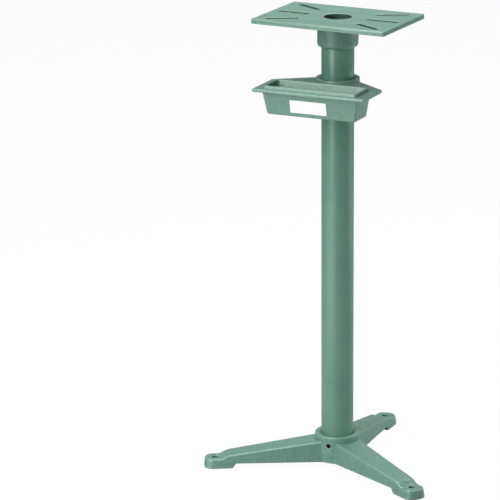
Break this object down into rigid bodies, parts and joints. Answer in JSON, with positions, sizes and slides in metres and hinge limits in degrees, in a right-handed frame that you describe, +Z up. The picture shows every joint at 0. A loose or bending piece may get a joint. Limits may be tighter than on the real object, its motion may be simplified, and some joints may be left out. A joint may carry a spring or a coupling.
{
  "type": "bench grinder stand",
  "caption": "Pedestal stand for a bench grinder: a slotted top plate on a tube column, a tool tray that slides on the column, and a cast base with spread legs and anchor holes.",
  "frame": {"origin": "on the floor, under the centre of the stand's bounding box", "axes": "+Z up along the column, -Y to the front where the tray hangs, +X to the right seen from the front"},
  "size_m": [0.4246, 0.3714, 0.813],
  "materials": {
    "casting_paint": "satin grey-green enamel over sand-cast iron",
    "tube_paint": "satin grey-green enamel over smooth steel tube",
    "black_steel": "black oxide",
    "label_sheet": "blank white sticker"
  },
  "bodies": {
    "base": {"base_casting": "casting_paint"},
    "column": {"column_tube": "tube_paint"},
    "tray": {"tool_tray": "casting_paint", "tray_label": "label_sheet"},
    "plate": {"top_plate": "casting_paint"},
    "base_set_screw_front": {"base_set_screw_front": "black_steel"},
    "base_set_screw_right": {"base_set_screw_right": "black_steel"},
    "base_set_screw_left": {"base_set_screw_left": "black_steel"},
    "tray_set_screw": {"tray_set_screw": "black_steel"},
    "plate_set_screw_right": {"plate_set_screw_right": "black_steel"},
    "plate_set_screw_left": {"plate_set_screw_left": "black_steel"}
  },
  "joints": [
    {"name": "column_turn", "type": "hinge", "parent": "base", "child": "column", "pos_m": [0, -0.05376, 0], "axis": [0, 0, 1], "continuous": true},
    {"name": "tray_slide", "type": "slide", "parent": "column", "child": "tray", "axis": [0, 0, 1], "range_m": [-0.609, 0.053]},
    {"name": "plate_turn", "type": "hinge", "parent": "column", "child": "plate", "pos_m": [0, -0.05376, 0], "axis": [0, 0, 1], "continuous": true},
    {"name": "base_set_screw_front_out", "type": "slide", "parent": "base", "child": "base_set_screw_front", "axis": [0, -1, 0], "range_m": [0, 0.005]},
    {"name": "base_set_screw_right_out", "type": "slide", "parent": "base", "child": "base_set_screw_right", "axis": [0.866, 0.5, 0], "range_m": [0, 0.005]},
    {"name": "base_set_screw_left_out", "type": "slide", "parent": "base", "child": "base_set_screw_left", "axis": [-0.866, 0.5, 0], "range_m": [0, 0.005]},
    {"name": "tray_set_screw_out", "type": "slide", "parent": "tray", "child": "tray_set_screw", "axis": [0, 1, 0], "range_m": [0, 0.005]},
    {"name": "plate_set_screw_right_out", "type": "slide", "parent": "plate", "child": "plate_set_screw_right", "axis": [0.7337, 0.6794, 0], "range_m": [0, 0.005]},
    {"name": "plate_set_screw_left_out", "type": "slide", "parent": "plate", "child": "plate_set_screw_left", "axis": [-0.6794, 0.7337, 0], "range_m": [0, 0.005]}
  ]
}
